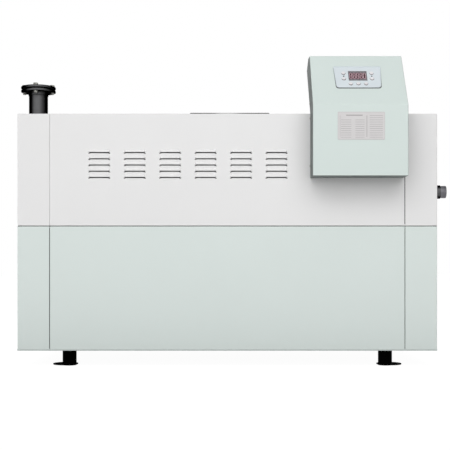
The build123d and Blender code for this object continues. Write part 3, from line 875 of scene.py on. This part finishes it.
border_mesh = band("label_border", border, border_profile, on_label)
new_piece("label_border", border_mesh, label_line)

# Rolled hem along the casing's lower edge, painted darker than the panels as painted shade
half_width = casing_width / 2
hem_height = 11.0
hem_bulge = 1.4
hem_inset = 0.4
hem_profile = []
for step in range(7):
    turn = -pi / 2 + pi * step / 6
    out = hem_bulge * cos(turn) - hem_inset
    hem_profile.append((out, casing_bottom + hem_height / 2 * (1 + sin(turn))))
hem_outline = [(-half_width, 0.0), (half_width, 0.0)]
hem_outline += [(half_width, casing_depth), (-half_width, casing_depth)]
hem_mesh = band("casing_hem", hem_outline, hem_profile, place)
new_piece("casing_hem", hem_mesh, hem_painted_shade, 40)

# Dark bars in three of the casing's seams, as painted shade where the seams show dark
seam_shade_end = 12.0
for seam_shade_name, seam_shade_x, seam_shade_width, low, high in (
    ("upper_right_seal", seam_x - 1.2, 4.2, storey_gap, casing_top),
    ("lower_right_seal", seam_x - 0.5, 3.0, casing_bottom, storey_gap),
    ("lower_left_seal", -seam_x, 3.4, casing_bottom, storey_gap),
):
    values = {"Bar": (seam_shade_width * MM, 0.0006, (high - low - 2 * seam_shade_end) * MM)}
    seam_shade_spot = [place(seam_shade_x, -0.1, (low + high) / 2)]
    grow(seam_shade_name, ruled_bars, values, rubber_and_painted_shade, seam_shade_spot)

# Short dark bars where the gap between the storeys turns each corner, as painted shade in the gap
gap_x = half_width - 15.5
gap_y = 5.0
gap_ends = [
    place(x, y, storey_gap) for x in (-gap_x, gap_x) for y in (gap_y, casing_depth - gap_y)
]
values = {"Bar": (0.025, 0.008, 0.0034)}
grow("storey_gap_seals", ruled_bars, values, rubber_and_painted_shade, gap_ends)

# Painted shade under both ends of every louvre: small dark marks where the slots' ends turn down
end_shade_outline = [(50.0, -5.6), (62.5, -5.6), (66.0, -8.5), (65.0, -10.0), (60.0, -9.6), (56.0, -7.8)]
end_shades = []
for side in (-1, 1):
    outline = [(side * x, z) for x, z in end_shade_outline]
    end_shades.append(flat_prism("end_shade_outline", outline, -0.0002, 0.0003, standing))
louvre_xs = [louvre_first_x + louvre_pitch_x * column for column in range(louvre_columns)]
louvre_zs = [louvre_top_z - louvre_pitch_z * row for row in range(louvre_rows)]
louvre_spots = [place(x, 0.0, z) for x in louvre_xs for z in louvre_zs]
end_shade_mesh = joined("louvre_end_cuts", end_shades)
fittings("louvre_end_cuts", end_shade_mesh, louvre_spots, UP, rubber_and_painted_shade)

# The boiler stands on a pale floor in front of a white surrounding
scene = bpy.context.scene
floor_half = 40.0
floor_mesh = bpy.data.meshes.new("floor")
corners = [(x * floor_half, y * floor_half, 0) for x, y in ((-1, -1), (1, -1), (1, 1), (-1, 1))]
floor_mesh.from_pydata(corners, [], [(0, 1, 2, 3)])
floor = bpy.data.objects.new("floor", floor_mesh)
scene.collection.objects.link(floor)


def seen_white(tree, glossy_share=1.0):
    """One where a surface or the surrounding is seen directly, in a reflection or through glass."""
    path = put(tree, "ShaderNodeLightPath").outputs
    glossy = maths(tree, "MULTIPLY", path["Is Glossy Ray"], glossy_share)
    direct = maths(tree, "MAXIMUM", path["Is Camera Ray"], path["Is Transmission Ray"])
    return maths(tree, "MAXIMUM", direct, glossy)


# How brightly the floor shows, and the light that it throws back: none under the boiler, and
# its full share from so many metres beside it
floor_glow = 0.965
bounce_reach = 0.8
bounce_full = 0.9


def floor_finish():
    """A pale matt floor that shows nearly white and keeps a soft shadow."""
    material = bpy.data.materials.new("pale_floor")
    material.use_nodes = True
    tree = material.node_tree
    tree.nodes.clear()
    where = put(tree, "ShaderNodeTexCoord").outputs["Object"]
    from_middle = vector_maths(tree, "SUBTRACT", where, place(0, casing_depth / 2, 0))[0]
    across = vector_maths(tree, "ABSOLUTE", from_middle)[0]
    footprint = (casing_width / 2 * MM, casing_depth / 2 * MM, 0.0)
    beyond = vector_maths(tree, "SUBTRACT", across, footprint)[0]
    outside = vector_maths(tree, "MAXIMUM", beyond)[0]
    distance = vector_maths(tree, "LENGTH", outside)["Value"]
    bounce = ramp(tree, distance, 0.0, bounce_reach, 0.0, bounce_full)
    channels = {0: bounce, 1: bounce, 2: bounce}
    bounce_grey = put(tree, "ShaderNodeCombineColor", channels).outputs[0]
    matt = put(tree, "ShaderNodeBsdfDiffuse", {"Color": bounce_grey}).outputs[0]
    pale = put(tree, "ShaderNodeBsdfDiffuse", {"Color": (0.12, 0.12, 0.12, 1)}).outputs[0]
    inputs = {"Color": (1, 1, 1, 1), "Strength": floor_glow}
    glow = put(tree, "ShaderNodeEmission", inputs).outputs[0]
    shown = put(tree, "ShaderNodeAddShader", {0: pale, 1: glow}).outputs[0]
    mix = put(tree, "ShaderNodeMixShader", {0: seen_white(tree), 1: matt, 2: shown}).outputs[0]
    put(tree, "ShaderNodeOutputMaterial", {"Surface": mix})
    return material


floor_mesh.materials.append(floor_finish())

# The broad light: its middle's turn to the left and rise, in degrees, and how far from its
# middle it is full and ends
light_turn = 8.0
light_rise = 18.0
light_full = 20.0
light_end = 65.0
light_level = 1.85
fill_level = 0.03


def studio_world():
    """A broad soft light from the front and above, and a white surrounding.

    Reflections show the white only behind the boiler and overhead.
    """
    world = bpy.data.worlds.new("studio")
    world.use_nodes = True
    tree = world.node_tree
    tree.nodes.clear()
    rise, turn = radians(light_rise), radians(light_turn)
    axis = (-sin(turn) * cos(rise), -cos(turn) * cos(rise), sin(rise))
    ray = put(tree, "ShaderNodeTexCoord").outputs["Generated"]
    facing = vector_maths(tree, "DOT_PRODUCT", ray, axis)["Value"]
    edge, full = cos(radians(light_end)), cos(radians(light_full))
    level = ramp(tree, facing, edge, full, fill_level, light_level, "SMOOTHSTEP")
    parts = put(tree, "ShaderNodeSeparateXYZ", {0: ray}).outputs
    backdrop = ramp(tree, parts["Y"], 0.3, 0.7)
    ceiling = ramp(tree, parts["Z"], 0.5, 0.85, 0.0, 0.75)
    reflected = maths(tree, "MAXIMUM", backdrop, ceiling)
    background = {"Color": (1, 1, 1, 1), "Strength": level}
    light = put(tree, "ShaderNodeBackground", background).outputs[0]
    background = {"Color": (1, 1, 1, 1), "Strength": 1.0}
    white = put(tree, "ShaderNodeBackground", background).outputs[0]
    inputs = {0: seen_white(tree, reflected), 1: light, 2: white}
    shown = put(tree, "ShaderNodeMixShader", inputs).outputs[0]
    put(tree, "ShaderNodeOutputWorld", {"Surface": shown})
    return world


scene.world = studio_world()


def soft_lamp(name, middle, aim, width, height, power):
    """A large soft lamp that no view sees."""
    data = bpy.data.lights.new(name, "AREA")
    data.shape = "RECTANGLE"
    data.size = width
    data.size_y = height
    data.energy = power
    lamp = bpy.data.objects.new(name, data)
    lamp.location = middle
    lamp.rotation_euler = (Vector(aim) - Vector(middle)).to_track_quat("-Z", "Y").to_euler()
    lamp.visible_camera = False
    lamp.visible_glossy = False
    scene.collection.objects.link(lamp)
    return lamp


front_lamp = soft_lamp("front_lamp", place(0, -2500, 3500), place(0, 0, 900), 5.0, 1.2, 28.0)
front_lamp.visible_glossy = True
soft_lamp("rear_lamp", place(0, 4200, 700), place(0, casing_depth, 700), 3.4, 1.2, 76.0)
top_lamp = soft_lamp("top_lamp", place(0, 1550, 3900), place(0, 800, casing_top), 3.4, 1.4, 9.0)
top_lamp.data.spread = radians(75)
soft_lamp("left_lamp", place(-4200, 1000, 650), place(-half_width, 700, 650), 1.4, 1.2, 40.0)
soft_lamp("right_lamp", place(4200, 1000, 650), place(half_width, 700, 650), 1.4, 1.2, 40.0)

# Camera: level, in front of the boiler, framed as in the photograph
eye_distance = 5714.0
eye_height = 625.0
picture = 450.0
focal_length = 960.0
axis_across = 227.3
axis_down = 262.0
camera_data = bpy.data.cameras.new("camera")
camera_data.sensor_width = 36.0
camera_data.lens = camera_data.sensor_width * focal_length / picture
camera_data.shift_x = (picture / 2 - axis_across) / picture
camera_data.shift_y = (axis_down - picture / 2) / picture
camera_data.clip_end = 200.0
camera = bpy.data.objects.new("camera", camera_data)
camera.location = place(0, -eye_distance, eye_height)
camera.rotation_euler = Euler((pi / 2, 0, 0))
scene.collection.objects.link(camera)
scene.camera = camera

scene.view_settings.view_transform = "Standard"
